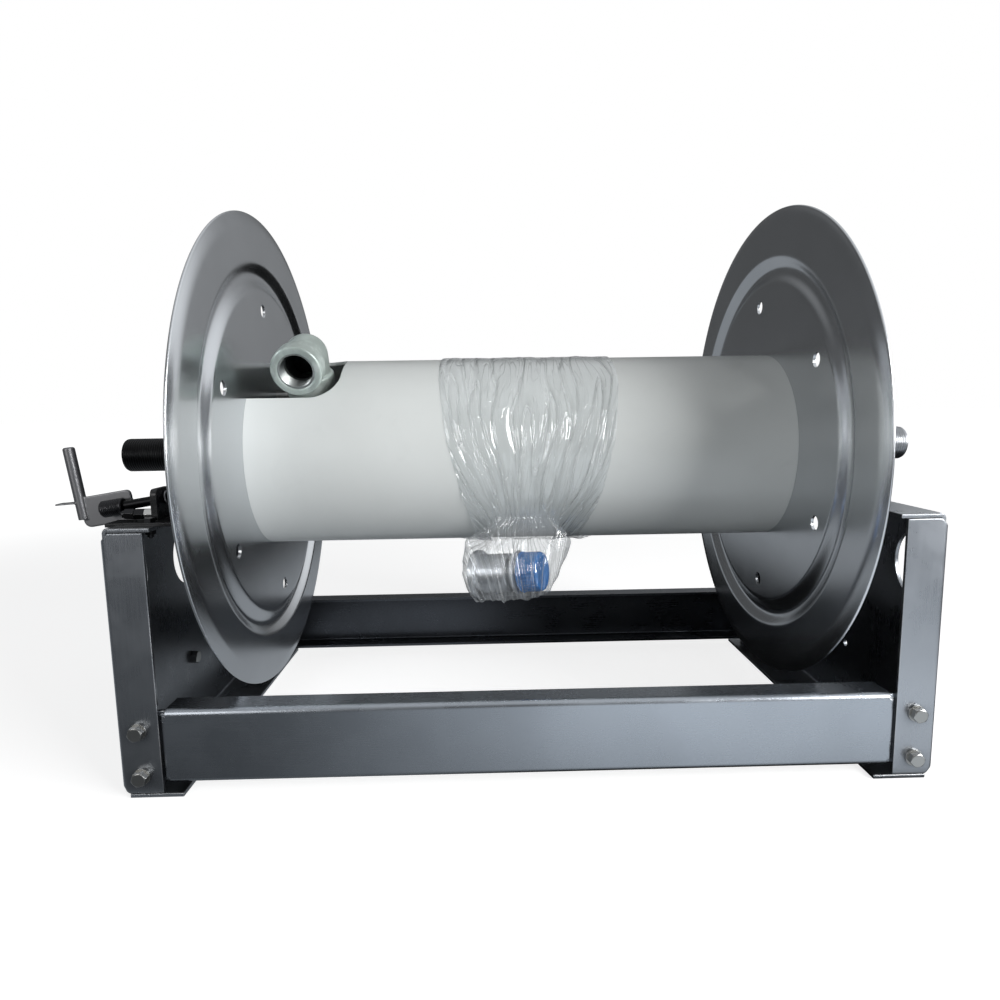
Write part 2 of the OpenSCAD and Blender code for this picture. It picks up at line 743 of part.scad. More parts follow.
module outlet_elbow() {
    color([0.66, 0.7, 0.68]) at_outlet() translate([0, 0, outlet_r]) difference() {
        union() {
            translate([0, 0, -leg]) cylinder(h = leg, r = fitting_r);
            translate([0, 0, -leg]) cylinder(h = riser_band_l, r = band_r);
            rotate([90, 0, 0]) cylinder(h = outlet_reach, r = fitting_r);
            translate([0, -outlet_reach + outlet_band_l, 0]) rotate([90, 0, 0])
                cylinder(h = outlet_band_l - 1, r = band_r);
            translate([0, -outlet_reach + 1, 0]) rotate([90, 0, 0])
                cylinder(h = 1, r1 = band_r, r2 = band_r - 1);
            sphere(fitting_r);
        }
        translate([0, 0, -leg - cut]) cylinder(h = leg + cut, r = flow_r);
        translate([0, 0, -leg - cut]) cylinder(h = engage + cut + 0.1, r = socket_r);
        rotate([90, 0, 0]) cylinder(h = outlet_reach + cut, r = flow_r);
        translate([0, -outlet_reach + outlet_band_l, 0]) rotate([90, 0, 0])
            cylinder(h = outlet_band_l + cut, r = outlet_thread_r);
        translate([0, -outlet_reach + 1.6, 0]) rotate([90, 0, 0])
            cylinder(h = 1.7, r1 = outlet_thread_r, r2 = outlet_thread_r + 1.6);
        sphere(flow_r);
    }
}

// ---------- pin lock ----------

// The lock pin's own directions: +X along the pin towards the disc, +Z up and slightly outwards.
module at_lock() {
    translate([lock_x, -lock_y, lock_z]) rotate([0, -lock_tilt, 0]) children();
}

// One upright of the bracket, seen along X, centred on the pin in y.
module upright(x, thickness, top) {
    half_y = 15;
    corner = 5;
    height = top - frame_h - 0.5;
    translate([x, -lock_y, frame_h + 0.5]) rotate([90, 0, 90]) linear_extrude(thickness) {
        translate([-half_y, 0]) square([2 * half_y, height - corner]);
        translate([-half_y + corner, 0]) square([2 * (half_y - corner), height]);
        for (y = [-half_y + corner, half_y - corner]) translate([y, height - corner]) circle(corner);
    }
}

// Puts a piece on the axis of each bracket screw.
module at_bracket_screws(z) {
    for (y = [-lock_y - bracket_screw_y, -lock_y + bracket_screw_y])
        translate([bracket_screw_x, y, z]) children();
}

// Puts a piece on the guide stud's axis, its +Z away from the disc.
module at_stud(x) {
    translate([x, -lock_y - stud_y, stud_z]) rotate([0, -90, 0]) children();
}

module lock_bracket() {
    color([0.09, 0.09, 0.1]) difference() {
        union() {
            translate([bracket_x1, -lock_y - bracket_half_y, frame_h + gap])
                cube([bracket_x2 - bracket_x1, 2 * bracket_half_y, bracket_t]);
            translate([tongue_x, -lock_y - bracket_half_y, frame_h + gap])
                cube([bracket_x1 - tongue_x + cut, tongue_w, bracket_t]);
            upright(outer_upright_x, outer_upright_t, outer_upright_top);
            upright(bracket_x2 - inner_upright_t, inner_upright_t, inner_upright_top);
        }
        at_lock() rod_x(lock_pin_r + 0.1, 0, tip_u);
        at_stud(outer_upright_x + outer_upright_t + cut)
            cylinder(h = outer_upright_t + 2 * cut, r = stud_r + 0.05);
        at_bracket_screws(frame_h) cylinder(h = 3 * bracket_t, r = bracket_screw_hole_r);
    }
}

module lock_bracket_screws() {
    color([0.2, 0.2, 0.2]) at_bracket_screws(frame_h + bracket_t + 2 * gap) hex_bolt(2.5, 13, 8, 3.5);
}

module lock_bracket_nuts() {
    color([0.2, 0.2, 0.2]) at_bracket_screws(frame_h - sheet_t - gap) rotate([180, 0, 0])
        hex_nut(2.5 + gap, 8, 4);
}

module lock_guide_stud() {
    color([0.22, 0.22, 0.23]) at_stud(outer_upright_x + outer_upright_t)
        cylinder(h = outer_upright_x + outer_upright_t - stud_x, r = stud_r);
}

module lock_guide_nut() {
    color([0.85, 0.85, 0.84]) at_stud(outer_upright_x - gap) rotate(30) hex_nut(stud_r + gap, stud_nut_af, 7);
}

module lock_jam_nuts() {
    color([0.15, 0.15, 0.16]) for (i = [0, 1])
        at_stud(outer_upright_x - 7.1 - 8.2 * i) rotate(30 + 14 * i) hex_nut(stud_r + gap, stud_nut_af, 8);
}

module lock_pin() {
    color([0.35, 0.35, 0.36]) at_lock() {
        rod_x(lock_pin_r, pin_u1, tip_u - 2);
        translate([tip_u - 2, 0, 0]) rotate([0, 90, 0])
            cylinder(h = 2, r1 = lock_pin_r, r2 = lock_pin_r - 1.5);
    }
}

module lock_collar() {
    color([0.3, 0.3, 0.3]) at_lock() tube_x(collar_r, lock_pin_r + gap, collar_u, collar_u + collar_w);
}

module lock_spring() {
    color([0.6, 0.6, 0.62]) at_lock() coil(spring_r, spring_wire_r, spring_u, collar_u - gap, spring_turns);
}

// The threaded sleeve at the pin's outer end, with a domed blind end.
module lock_sleeve() {
    dome = 2;
    color([0.28, 0.28, 0.29]) at_lock() difference() {
        union() {
            rod_x(sleeve_r, sleeve_u1 + dome, sleeve_u2 - 1);
            translate([sleeve_u1, 0, 0]) rotate([0, 90, 0])
                cylinder(h = dome, r1 = sleeve_r - dome, r2 = sleeve_r);
            translate([sleeve_u2 - 1, 0, 0]) rotate([0, 90, 0])
                cylinder(h = 1, r1 = sleeve_r, r2 = sleeve_r - 1);
        }
        rod_x(lock_pin_r + gap, pin_u1 - gap, sleeve_u2 + cut);
    }
}

// The welded lever: a plate behind the sleeve, an upright handle and a thin thumb tab.
module lock_lever() {
    y1 = sleeve_r + gap;
    low = -13.5;                           // plate's four edges, across and along the pin
    high = 12.6;
    outer = -51;
    inner = -7.4;
    round_low = 6;
    round_high = 4;
    handle_u = -50.6;
    handle_l = 60;
    color([0.3, 0.3, 0.31]) at_lock() {
        translate([0, y1 + lever_t, 0]) rotate([90, 0, 0]) linear_extrude(lever_t) {
            translate([outer + round_low, low]) square([inner - round_high - outer - round_low, high - low]);
            translate([outer, low + round_low]) square([inner - outer, high - round_high - low - round_low]);
            translate([outer + round_low, low + round_low]) circle(round_low);
            translate([inner - round_high, high - round_high]) circle(round_high);
            translate([outer, high - 2 * round_high]) square([2 * round_low, 2 * round_high]);
            translate([inner - round_high - 1, low]) square([round_high + 1, 2 * round_low]);
        }
        translate([handle_u, y1 + lever_t / 2, -6]) rotate([0, 1.5, 0]) {
            cylinder(h = handle_l, r = handle_r);
            translate([0, 0, handle_l]) cylinder(h = 1.2, r1 = handle_r, r2 = handle_r - 1.2);
        }
        translate([-69.5, y1 - 3, 9.4]) rotate([0, 5, 0]) cube([18, 10, 1.5]);
    }
}

// ---------- wrapped swivel ----------

// The swivel's own direction: +Z along its axis towards the capped end.
module at_swivel() {
    translate(swivel_at) rotate([0, swivel_tip, swivel_turn]) children();
}

module swivel_body() {
    color([0.6, 0.61, 0.63]) at_swivel() difference() {
        union() {
            translate([0, 0, body_z1]) cylinder(h = 6, r = body_flange_r);
            translate([0, 0, body_z1 + 6]) cylinder(h = body_z2 - body_z1 - 6, r = body_r);
            translate([0, 0, body_z2]) cylinder(h = 1.5, r1 = body_r, r2 = body_r - 1.5);
        }
        translate([0, 0, body_z1 - cut]) cylinder(h = 14 + cut, r = 15.2);
        translate([0, 0, body_z1 + 12]) cylinder(h = 28, r = stem_r + 0.05);
    }
}

module swivel_stem() {
    color([0.7, 0.7, 0.72]) at_swivel() difference() {
        union() {
            translate([0, 0, -7]) cylinder(h = 7 + stem_flange_z + 1, r = stem_r);
            translate([0, 0, stem_flange_z]) cylinder(h = 3, r = stem_flange_r);
            translate([0, 0, stem_flange_z + 2])
                cylinder(h = stem_end_z - stem_flange_z - 2, r = stem_thread_r);
        }
        translate([0, 0, -8]) cylinder(h = stem_end_z + 10, r = 9.5);
    }
}

module thread_cap() {
    color([0.05, 0.42, 0.85]) at_swivel() difference() {
        union() {
            translate([0, 0, cap_z1]) cylinder(h = cap_z2 - cap_z1 - 1.5, r = cap_r);
            translate([0, 0, cap_z2 - 1.5]) cylinder(h = 1.5, r1 = cap_r, r2 = cap_r - 1.5);
            translate([0, 0, cap_z1]) cylinder(h = 2, r = cap_rim_r);
        }
        translate([0, 0, cap_z1 - cut])
            cylinder(h = stem_end_z + 0.6 - cap_z1 + cut, r = stem_thread_r + 0.1);
        translate([0, 0, stem_end_z + 1.6]) cylinder(h = 3, r = 13.5);
    }
}

// The pouch of film around the swivel, hanging from the drum's lower front.
module pouch(inset) {
    hull() {
        at_swivel() translate([0, 0, body_z1 - 2.5 + inset]) cylinder(h = 48, r = pouch_r1 - inset, $fn = 32);
        at_swivel() translate([0, 0, stem_flange_z]) cylinder(h = 29 - inset, r = pouch_r2 - inset, $fn = 32);
        translate([0, pouch_root_y, axis_z - pouch_root_z])
            rod_x(pouch_r1 - inset, -56 + inset, 54 - inset, $fn = 32);
    }
}

module wrapping_film() {
    inner_r = drum_r + 0.2;
    color([0.85, 0.87, 0.88, 0.5]) difference() {
        union() {
            translate([0, 0, axis_z]) rod_x(inner_r + film_t, film_x1, film_x2, $fn = 64);
            pouch(0);
        }
        translate([0, 0, axis_z]) rod_x(inner_r, film_x1 - cut, film_x2 + cut, $fn = 64);
        pouch(film_t);
    }
}

left_side_frame();
right_side_frame();
front_cross_member();
rear_cross_member();
frame_bolts();
frame_washers();
frame_nuts();
web_bolt();
web_nut();
left_bearing_housing();
right_bearing_housing();
bearing_outer_rings();
bearing_balls();
bearing_seals();
bearing_inner_rings();
bearing_set_screws();
grease_nipples();
bearing_bolts();
bearing_washers();
bearing_nuts();
left_disc();
right_disc();
drum_tube();
left_hub();
right_hub();
hub_set_screws();
tie_rods();
tie_rod_washers();
tie_rod_nuts();
inlet_pipe();
drive_shaft();
inner_elbow();
riser_pipe();
outlet_elbow();
lock_bracket();
lock_bracket_screws();
lock_bracket_nuts();
lock_guide_stud();
lock_guide_nut();
lock_jam_nuts();
lock_pin();
lock_collar();
lock_spring();
lock_sleeve();
lock_lever();
swivel_body();
swivel_stem();
thread_cap();
wrapping_film();
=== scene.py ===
"""Looks of the hose reel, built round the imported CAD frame.

X runs along the drum's axis, Y to the rear and Z up. Shapes are in millimetres until they become a mesh.
Places of lights, camera and joints are in metres.
"""

import json
import math

import bmesh
import bpy
import numpy as np
from mathutils import Matrix, Vector


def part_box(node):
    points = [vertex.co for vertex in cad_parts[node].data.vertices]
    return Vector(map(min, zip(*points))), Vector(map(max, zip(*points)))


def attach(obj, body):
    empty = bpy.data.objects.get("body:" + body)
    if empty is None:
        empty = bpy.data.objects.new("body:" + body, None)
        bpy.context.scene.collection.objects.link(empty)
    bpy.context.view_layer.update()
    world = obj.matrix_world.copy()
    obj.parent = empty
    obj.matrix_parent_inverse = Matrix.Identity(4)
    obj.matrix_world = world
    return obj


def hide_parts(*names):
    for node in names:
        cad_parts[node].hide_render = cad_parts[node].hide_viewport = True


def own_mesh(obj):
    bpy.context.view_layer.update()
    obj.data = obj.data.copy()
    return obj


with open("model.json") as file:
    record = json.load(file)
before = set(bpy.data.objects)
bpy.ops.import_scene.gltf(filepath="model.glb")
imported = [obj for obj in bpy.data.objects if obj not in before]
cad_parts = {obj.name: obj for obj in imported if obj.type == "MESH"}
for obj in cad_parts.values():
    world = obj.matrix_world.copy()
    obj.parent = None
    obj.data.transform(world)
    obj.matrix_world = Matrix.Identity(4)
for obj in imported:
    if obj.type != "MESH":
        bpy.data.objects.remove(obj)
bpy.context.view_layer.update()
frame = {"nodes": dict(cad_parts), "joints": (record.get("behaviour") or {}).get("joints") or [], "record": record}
NODES = frame["nodes"]
JOINTS = {j["name"]: j for j in frame["joints"]}
AXIS_Z = JOINTS["drum_spin"]["pos_m"][2]
MM = 0.001


# ---------- node helpers ----------

class Shader:
    """The node tree of a material or of the world, with short calls for the nodes used here."""

    def __init__(self, owner, output="OutputMaterial"):
        owner.use_nodes = True
        self.owner = owner
        self.tree = owner.node_tree
        self.tree.nodes.clear()
        self.out = self.node(output)

    @classmethod
    def named(cls, name):
        return cls(bpy.data.materials.new(name))

    def node(self, kind, inputs=None, **settings):
        made = self.tree.nodes.new("ShaderNode" + kind)
        for key, value in settings.items():
            setattr(made, key, value)
        for key, value in (inputs or {}).items():
            self.put(made.inputs[key], value)
        return made

    def put(self, socket, value):
        if isinstance(value, bpy.types.NodeSocket):
            self.tree.links.new(value, socket)
        elif isinstance(value, (tuple, list)) and len(value) == 3 and socket.type == "RGBA":
            socket.default_value = (*value, 1)
        else:
            socket.default_value = value

    def place(self, scale=(1, 1, 1)):
        """Object coordinates in metres, stretched by scale."""
        coords = self.node("TexCoord").outputs["Object"]
        return self.node("Mapping", {"Vector": coords, "Scale": scale}).outputs["Vector"]

    def noise(self, scale, detail=3, rough=0.5, place=None, distortion=0):
        """Noise of about scale lumps in a metre, at place or at the object's own coordinates."""
        return self.node("TexNoise", {
            "Vector": place or self.place(), "Scale": scale, "Detail": detail,
            "Roughness": rough, "Distortion": distortion}).outputs["Fac"]

    def ramp(self, value, low, high, to_low=0.0, to_high=1.0):
        """A smooth step of value between low and high, from to_low to to_high."""
        return self.node("MapRange", {
            "Value": value, "From Min": low, "From Max": high, "To Min": to_low, "To Max": to_high},
            interpolation_type="SMOOTHSTEP").outputs["Result"]

    def math(self, operation, *values):
        return self.node("Math", dict(enumerate(values)), operation=operation).outputs[0]

    def mix(self, factor, a, b):
        """A colour between a and b. The Mix node shares its sockets' names, so they go by number."""
        made = self.node("Mix", {0: factor}, data_type="RGBA")
        self.put(made.inputs[6], a)
        self.put(made.inputs[7], b)
        return made.outputs[2]

    def blend(self, factor, a, b):
        """A shader between the shaders of nodes a and b."""
        return self.node("MixShader", {0: factor, 1: a.outputs[0], 2: b.outputs[0]})

    def show(self, shader):
        """Makes a node's shader the surface, and returns the material."""
        self.put(self.out.inputs["Surface"], shader.outputs[0])
        return self.owner

    def bump(self, height, distance, strength=1.0, **normal):
        inputs = {"Height": height, "Distance": distance, "Strength": strength, **normal}
        return self.node("Bump", inputs).outputs["Normal"]

    def edges(self, radius):
        """(rounded normal, edge mask) from the Bevel node."""
        soft = self.node("Bevel", {"Radius": radius}, samples=4).outputs["Normal"]
        hard = self.node("NewGeometry").outputs["True Normal"]
        dot = self.node("VectorMath", {0: soft, 1: hard}, operation="DOT_PRODUCT").outputs["Value"]
        return soft, self.ramp(dot, 0.985, 0.9)

    def shade(self, distance, amount):
        """Up to amount inside corners and hollows, nothing in the open."""
        open_sky = self.node("AmbientOcclusion", {"Distance": distance}, samples=4).outputs["AO"]
        return self.ramp(open_sky, 0.75, 0.15, 0, amount)

    def surface(self, **inputs):
        return self.show(self.node("BsdfPrincipled", {k.replace("_", " "): v for k, v in inputs.items()}))


def shades(colour, low, high):
    """The colour times low and times high, no channel above 1."""
    return [tuple(min(1.0, v * by) for v in colour) for by in (low, high)]


def metal(name, colour, rough=0.3, grain=(1, 1, 1), grain_depth=0.0015, clouds=0.06,
          edge=0.8, edge_radius=0.5, tint=None, smudge=0.07, painted_shade=0.0):
    """Bare or plated metal: fine stretched grain, soft clouds in tone and gloss, brighter worn edges, and painted
    shade in corners and hollows where asked.
    """
    s = Shader.named(name)
    fine = s.noise(1400, 1, 0.5, s.place(grain))
    broad = s.noise(8, 3, 0.5)
    blotch = s.noise(30, 3, 0.55, distortion=0.4)
    normal, edge_mask = s.edges(edge_radius * MM)
    base = s.mix(s.ramp(broad, 0.35, 0.65), *shades(colour, 1 - clouds, 1 + clouds))
    if tint:
        base = s.mix(s.ramp(blotch, 0.5, 0.75, 0, 0.5), base, tint)
    worn = s.math("MULTIPLY", edge_mask, s.ramp(blotch, 0.35, 0.6, 0.2, 0.8))
    base = s.mix(worn, base, (edge, edge, edge))
    # Painted shade: the colour darkens inside corners and hollows and near the floor.
    if painted_shade:
        base = s.mix(s.shade(0.16, painted_shade), base, shades(colour, 0.12, 1)[0])
    gloss = s.math("ADD", s.ramp(fine, 0.3, 0.7, rough - 0.015, rough + 0.015),
                   s.ramp(blotch, 0.3, 0.7, -smudge / 2, smudge / 2))
    normal = s.bump(fine, grain_depth * MM, 0.5, Normal=normal)
    return s.surface(Base_Color=base, Metallic=1.0, Roughness=gloss, Normal=normal)


def cast(name, colour, rough=0.45, metallic=0.0, lumps=0.12, tint=None, edge=None, shade=0.0):
    """Painted or galvanised casting: sand-cast grain and mottling."""
    s = Shader.named(name)
    grain = s.noise(420, 3, 0.6)
    lump = s.noise(70, 3, 0.6)
    broad = s.noise(24, 4, 0.6, distortion=0.6)
    normal, edge_mask = s.edges(0.9 * MM)
    base = s.mix(s.ramp(broad, 0.35, 0.65), *shades(colour, 0.8, 1.15))
    if tint:
        base = s.mix(s.ramp(lump, 0.5, 0.7, 0, 0.7), base, tint)
    if edge:
        base = s.mix(s.math("MULTIPLY", edge_mask, 0.6), base, edge)
    if shade:
        base = s.mix(s.shade(0.012, shade), base, shades(colour, 0.15, 1)[0])
    height = s.math("ADD", s.math("MULTIPLY", grain, 0.4), lump)
    normal = s.bump(height, lumps * MM, 0.8, Normal=normal)
    gloss = s.ramp(lump, 0.3, 0.7, rough - 0.08, rough + 0.1)
    return s.surface(Base_Color=base, Metallic=metallic, Roughness=gloss, Normal=normal)


def paint(name, colour, rough=0.35, dirt=0.05, coat=0.25):
    """Smooth sprayed paint or moulded plastic: faint orange peel, soft smudges."""
    s = Shader.named(name)
    skin = s.noise(260, 2, 0.5)
    broad = s.noise(7, 4, 0.5)
    smudge = s.noise(26, 5, 0.62, distortion=0.8)
    normal, _ = s.edges(0.5 * MM)
    base = s.mix(s.ramp(broad, 0.35, 0.65), *shades(colour, 1 - dirt, 1))
    base = s.mix(s.ramp(smudge, 0.55, 0.8, 0, 0.35), base, shades(colour, 1 - 2.2 * dirt, 1)[0])
    gloss = s.ramp(smudge, 0.3, 0.75, rough - 0.04, rough + 0.1)
    return s.surface(Base_Color=base, Roughness=gloss, Normal=s.bump(skin, 0.01 * MM, 0.7, Normal=normal),
                     Coat_Weight=coat, Coat_Roughness=0.2)


def plastic_film(name):
    """Thin clear film: see-through, with sharp glossy streaks along its folds and a little milk."""
    s = Shader.named(name)
    fold = s.node("Attribute", attribute_name="fold").outputs["Vector"]
    long_fold = s.noise(1.0, 0.6, 0.5, fold, 0.1)
    thin_fold = s.noise(2.4, 1.0, 0.5, fold, 0.3)
    crease = s.math("ABSOLUTE", s.math("SUBTRACT", long_fold, 0.5))
    small = s.math("ABSOLUTE", s.math("SUBTRACT", thin_fold, 0.5))
    height = s.math("ADD", s.ramp(crease, 0, 0.07), s.ramp(small, 0, 0.04, 0, 0.3))
    normal = s.bump(height, 1.8 * MM)
    facing = s.node("LayerWeight", {"Blend": 0.3, "Normal": normal}).outputs["Facing"]
    milk = s.node("BsdfDiffuse", {"Color": (0.86, 0.88, 0.89), "Normal": normal})
    shine = s.node("BsdfGlossy", {"Color": (1, 1, 1), "Roughness": 0.07, "Normal": normal})
    clear = s.node("BsdfTransparent", {"Color": (0.95, 0.96, 0.965)})
    cover = s.math("ADD", s.ramp(crease, 0.02, 0.0, 0.04, 0.3), s.ramp(facing, 0.3, 1.0, 0.0, 0.4))
    gleam = s.ramp(facing, 0.05, 0.9, 0.09, 0.55)
    return s.show(s.blend(gleam, s.blend(cover, clear, milk), shine))


def dress(material, *names):
    """Puts a material on carried-over CAD nodes."""
    for name in names:
        slots = NODES[name].data.materials
        slots.clear()
        slots.append(material)


# ---------- shape helpers ----------

def piece(name, mesh, body, materials, stands_for, sharp=35):
    """An object from a mesh, smooth except at sharp edges, riding on a body in place of a CAD node."""
    smooth(mesh, sharp)
    made = bpy.data.objects.new(name, mesh)
    bpy.context.scene.collection.objects.link(made)
    for material in materials:
        mesh.materials.append(material)
    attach(made, body)
    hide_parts(stands_for)
    return made


def smooth(mesh, sharp):
    edit = bmesh.new()
    edit.from_mesh(mesh)
    bmesh.ops.recalc_face_normals(edit, faces=edit.faces)
    for face in edit.faces:
        face.smooth = True
    for edge in edit.edges:
        edge.smooth = edge.calc_face_angle(0) < math.radians(sharp)
    edit.to_mesh(mesh)
    edit.free()


def grid_mesh(name, points, wrap_rows=True, placed=Matrix()):
    """A mesh from points[row, column, xyz]. Each row is a ring. Rows that don't wrap end in caps."""
    rows, columns = points.shape[:2]
    index = np.arange(rows * columns).reshape(rows, columns)
    faces = []
    for i in range(rows if wrap_rows else rows - 1):
        here, after = index[i], index[(i + 1) % rows]
        for j in range(columns):
            k = (j + 1) % columns
            faces.append((here[j], here[k], after[k], after[j]))
    if not wrap_rows:
        faces += [tuple(index[0]), tuple(index[-1][::-1])]
    turn = np.array(placed.to_3x3())
    flat = points.reshape(-1, 3) @ turn.T * MM + np.array(placed.translation)
    mesh = bpy.data.meshes.new(name)
    mesh.from_pydata(flat.tolist(), [], [tuple(int(k) for k in f) for f in faces])
    return mesh


def revolve(profile, columns, ribs=None):
    """Grid points of a profile of (along, radius) turned about X. Ribs give what is added to the radius."""
    angle = np.linspace(0, 2 * math.pi, columns, endpoint=False)[None, :]
    along = np.array([p[0] for p in profile])[:, None] + 0 * angle
    radius = np.array([p[1] for p in profile])[:, None] + 0 * angle
    if ribs:
        radius = radius + ribs(angle, along, radius)
    return np.stack([along, radius * np.cos(angle), radius * np.sin(angle)], -1)


def tube_along(path, wire, sides):
    """Grid points of a round wire along a path of points that never runs straight along X."""
    path = np.array(path)
    ahead = np.gradient(path, axis=0)
    ahead /= np.linalg.norm(ahead, axis=1)[:, None]
    side = np.cross(ahead, (1, 0, 0))
    side /= np.linalg.norm(side, axis=1)[:, None]
    up = np.cross(side, ahead)
    angle = np.linspace(0, 2 * math.pi, sides, endpoint=False)[None, :, None]
    return path[:, None] + wire * (np.cos(angle) * side[:, None] + np.sin(angle) * up[:, None])


def bake(mesh, *modifiers):
    """The mesh with modifiers applied. Each modifier is (type, settings)."""
    made = bpy.data.objects.new("bake", mesh)
    bpy.context.scene.collection.objects.link(made)
    for kind, settings in modifiers:
        modifier = made.modifiers.new(kind, kind)
        for key, value in settings.items():
            setattr(modifier, key, value)
    result = bpy.data.meshes.new_from_object(made.evaluated_get(bpy.context.evaluated_depsgraph_get()))
    bpy.data.objects.remove(made)
    return result


def soften(node, voxel, rounds):
    """A CAD node's shape with filled inside corners and rounded edges, as a casting or weld has."""
    mesh = NODES[node].data.copy()
    mesh.transform(NODES[node].matrix_world)
    return bake(mesh, ("REMESH", {"mode": "VOXEL", "voxel_size": voxel * MM}),
                ("SMOOTH", {"factor": 0.5, "iterations": rounds}))


def join(*meshes):
    edit = bmesh.new()
    for mesh in meshes:
        edit.from_mesh(mesh)
    joined = bpy.data.meshes.new(meshes[0].name)
    edit.to_mesh(joined)
    edit.free()
    return joined


def axes(origin, x, z):
    """A placement whose own +X and +Z point along x and z. The origin is in metres."""
    x, z = Vector(x).normalized(), Vector(z).normalized()
    y = z.cross(x)
    return Matrix.Translation(origin) @ Matrix((x, y, z)).transposed().to_4x4()


def middle(node):
    low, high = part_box(node)
    return (Vector(low) + Vector(high)) / 2


def step(value, low, high):
    """Smooth step from 0 at low to 1 at high."""
    t = np.clip((np.asarray(value, float) - low) / (high - low), 0, 1)
    return t * t * (3 - 2 * t)


def thread_wave(angle, along, pitch):
    """0 at a thread's crest and 1 at its root, winding along the axis."""
    phase = (along / pitch + angle / (2 * math.pi)) % 1
    return np.clip(np.abs(phase - 0.5) * 2.5 - 0.15, 0, 1)


# ---------- pieces ----------

DISC_X = 250  # the discs' drum side, from the middle of the reel
DISC_T = 2.5
RIM = 228.5
GROOVE = (157, 187)
GROOVE_DEPTH = 5.5
LOCK_HOLES = dict(circle=140, radius=6.5, count=6)
ROD_HOLES = dict(circle=62, radius=5.5, count=4, first=159)


def disc_profile():
    """The disc's section as (outboard, radius): out along the drum side, round the lip, back outboard."""
    low, high = GROOVE
    radii = np.concatenate([[17.5, 60, 120, 150], np.linspace(low - 1, high + 1, 33), [200, 208]])
    groove = GROOVE_DEPTH * np.sin(np.clip((radii - low) / (high - low), 0, 1) * math.pi) ** 2
    inner = list(zip(groove, radii))
    outer = list(zip(groove + DISC_T, radii))
    bend = np.linspace(0, 1, 12)
    roll = [(2.8 * t * t, RIM - 14.2 + 13 * t) for t in bend]
    lip = [(4.0 - 1.2 * math.cos(t), RIM - 1.2 + 1.2 * math.sin(t)) for t in np.linspace(0.5, 2.9, 8)]
    back = [(DISC_T + 2.6 * t * t, RIM - 14.6 + 12.4 * t) for t in bend[::-1]]
    return inner + roll + lip + back + outer[::-1]


def hole_cutter(first):
    """Long cylinders where a disc has its holes. The first lock hole is at the angle first, in degrees."""
    meshes = []
    reach = DISC_X + 8
    for ring in (dict(LOCK_HOLES, first=first), ROD_HOLES):
        points = revolve([(-reach, ring["radius"]), (reach, ring["radius"])], 48)
        for i in range(ring["count"]):
            turn = math.radians(ring["first"] + 360 * i / ring["count"])
            y, z = ring["circle"] * math.cos(turn), ring["circle"] * math.sin(turn)
            centre = Vector((0, y, z + AXIS_Z / MM)) * MM
            meshes.append(grid_mesh("cutter", points, False, Matrix.Translation(centre)))
    made = bpy.data.objects.new("cutter", join(*meshes))
    bpy.context.scene.collection.objects.link(made)
    return made


def disc(name, side, first_hole):
    """A pressed disc: soft groove, rolled rim with a thin lip, lock holes."""
    points = revolve([(side * (DISC_X + out), radius) for out, radius in disc_profile()], 256)
    mesh = grid_mesh(name, points, True, Matrix.Translation((0, 0, AXIS_Z)))
    smooth(mesh, 180)
    cutter = hole_cutter(first_hole)
    smooth(cutter.data, 30)
    cut = bake(mesh, ("BOOLEAN", {"operation": "DIFFERENCE", "solver": "EXACT", "object": cutter}))
    bpy.data.objects.remove(cutter)
    return piece(name + "_pressed", cut, "drum", [disc_metal], name, 40)


SHAFT_END = 397
SHAFT_R = 16.7
PITCH = 2.3
THREAD_DEPTH = 0.7
THREAD_END = 48.4  # distances on a shaft are measured from its outer end
RELIEF = (50, 52.1)
RELIEF_DEPTH = 0.8
BORE_CHAMFER = 0.8


def shaft(name, side, inner_end, bore, material):
    """A shaft with a cut thread on its outer end and a relief behind it. A bore of 0 leaves it solid."""
    start, end = RELIEF
    along = np.concatenate([np.arange(0, THREAD_END, PITCH / 7), [start, start + 0.4, end, end + 0.4]])
    in_relief = step(along, start - 0.6, start) * (1 - step(along, end, end + 0.4))
    radius = SHAFT_R - RELIEF_DEPTH * in_relief - 1.6 * (1 - step(along, -2, 2))
    profile = list(zip(side * (SHAFT_END - along), radius)) + [(side * inner_end, SHAFT_R)]
    if bore:
        profile += [(side * inner_end, bore), (side * (SHAFT_END - BORE_CHAMFER), bore),
                    (side * SHAFT_END, bore + BORE_CHAMFER)]

    def cut_thread(angle, x, r):
        reach = SHAFT_END - side * x
        fade = step(reach, 0, 3) * (1 - step(reach, THREAD_END - 1.9, THREAD_END + 0.1))
        deep = THREAD_DEPTH * fade * (r > bore + 1.2)
        return -deep * thread_wave(angle, reach, PITCH)

    points = revolve(profile, 96, cut_thread)
    mesh = grid_mesh(name, points, bool(bore), Matrix.Translation((0, 0, AXIS_Z)))
    return piece(name + "_threaded", mesh, "drum", [material], name, 50)


MOUTH_R = 15.85
MOUTH_THREAD = (22, 43.2)
MOUTH_THREAD_DEPTH = 1.15
MOUNT_DEPTH = 34.2  # the mount's point, measured along the mouth from the elbow's corner
WALL_DEPTH = 16.9  # a radius inside the elbow's wall, which hides the thread's back


def outlet_axes():
    """Own +X towards the front along the outlet's mouth, own +Z outwards along the riser."""
    mount = next(m for m in frame["record"]["mounts"] if m["name"] == "hose_outlet")
    ahead = Vector(mount["axis"])
    origin = Vector(mount["pos_m"]) - MOUNT_DEPTH * MM * ahead
    return axes(origin, ahead, Vector((1, 0, 0)).cross(ahead) * -1)


def in_bore(own):
    """Whether a point in the outlet's own axes is on its inside: mouth, riser or the corner between."""
    in_mouth = math.hypot(own.y, own.z) < WALL_DEPTH and 0 < own.x < 33
    in_riser = math.hypot(own.x, own.y) < WALL_DEPTH and own.z < 10
    in_corner = own.length < 18.5
    return in_mouth or in_riser or in_corner


